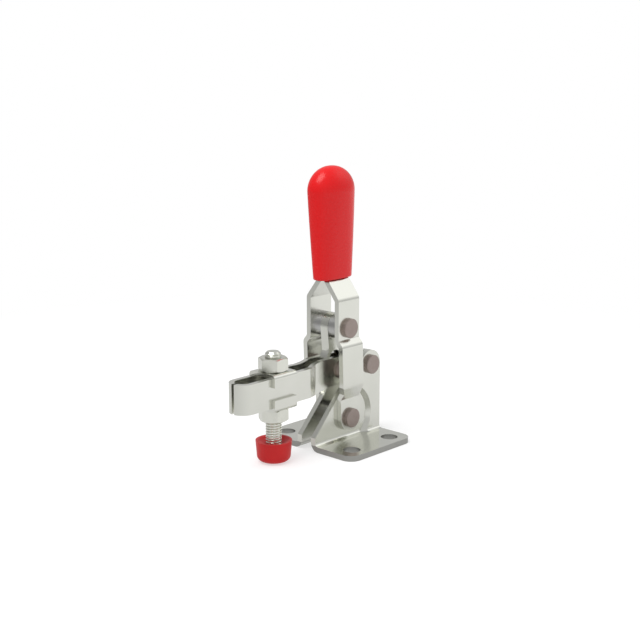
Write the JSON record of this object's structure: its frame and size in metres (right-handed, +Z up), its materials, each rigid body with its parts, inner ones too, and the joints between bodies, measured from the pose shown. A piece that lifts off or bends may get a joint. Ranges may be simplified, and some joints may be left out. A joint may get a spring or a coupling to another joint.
{
  "type": "toggle clamp",
  "caption": "Hold-down toggle clamp with an upright red grip, a flanged bolt-on base, a slotted arm and an adjustable spindle with a rubber cap.",
  "frame": {"origin": "middle of the bolt holes on the underside of the base flange", "axes": "+X towards the arm's tip, +Y to the left side, +Z up along the closed handle"},
  "size_m": [0.074, 0.0468, 0.1082],
  "materials": {
    "plated_steel": "bright plated sheet steel, smooth with faint waviness",
    "rivet_steel": "satin upset rivet heads",
    "spacer_steel": "turned steel rings",
    "fastener_steel": "bright plated fasteners",
    "red_plastic": "glossy dipped or moulded plastic",
    "red_rubber": "smooth rubber"
  },
  "bodies": {
    "base": {"base_plate_left": "plated_steel", "base_plate_right": "plated_steel", "base_spacer": "spacer_steel", "handle_pivot_rivet": "rivet_steel", "arm_pivot_rivet": "rivet_steel"},
    "handle": {"handle_plate_left": "plated_steel", "handle_plate_right": "plated_steel", "grip": "red_plastic", "link_rivet": "rivet_steel", "link_spacer_left": "spacer_steel", "link_spacer_right": "spacer_steel"},
    "link": {"link_plate_left": "plated_steel", "link_plate_right": "plated_steel"},
    "arm": {"arm_plate_left": "plated_steel", "arm_plate_right": "plated_steel", "arm_pivot_bush": "spacer_steel", "toggle_rivet": "rivet_steel"},
    "spindle_holder": {"upper_flanged_washer": "plated_steel", "lower_flanged_washer": "plated_steel", "upper_nut": "fastener_steel", "lower_nut": "fastener_steel"},
    "spindle": {"spindle": "fastener_steel", "bumper_cap": "red_rubber"}
  },
  "joints": [
    {"name": "handle_pivot", "type": "hinge", "parent": "base", "child": "handle", "pos_m": [0, 0, 0.0104], "axis": [0, -1, 0], "range_deg": [0, 57]},
    {"name": "arm_pivot", "type": "hinge", "parent": "base", "child": "arm", "pos_m": [-0.0123, 0, 0.0295], "axis": [0, -1, 0], "range_deg": [0, 100.2]},
    {"name": "link_pivot", "type": "hinge", "parent": "handle", "child": "link", "pos_m": [0.00315, 0, 0.0469], "axis": [0, -1, 0], "range_deg": [0, 74.1]},
    {"name": "spindle_along_arm", "type": "slide", "parent": "arm", "child": "spindle_holder", "axis": [1, 0, 0], "range_m": [-0.0095, 0.013]},
    {"name": "spindle_height", "type": "slide", "parent": "spindle_holder", "child": "spindle", "axis": [0, 0, 1], "range_m": [-0.004, 0.007]}
  ],
  "couplings": [
    {"joint": "arm_pivot", "follows": "handle_pivot", "ratio": 1.757},
    {"joint": "link_pivot", "follows": "handle_pivot", "ratio": 1.298}
  ]
}
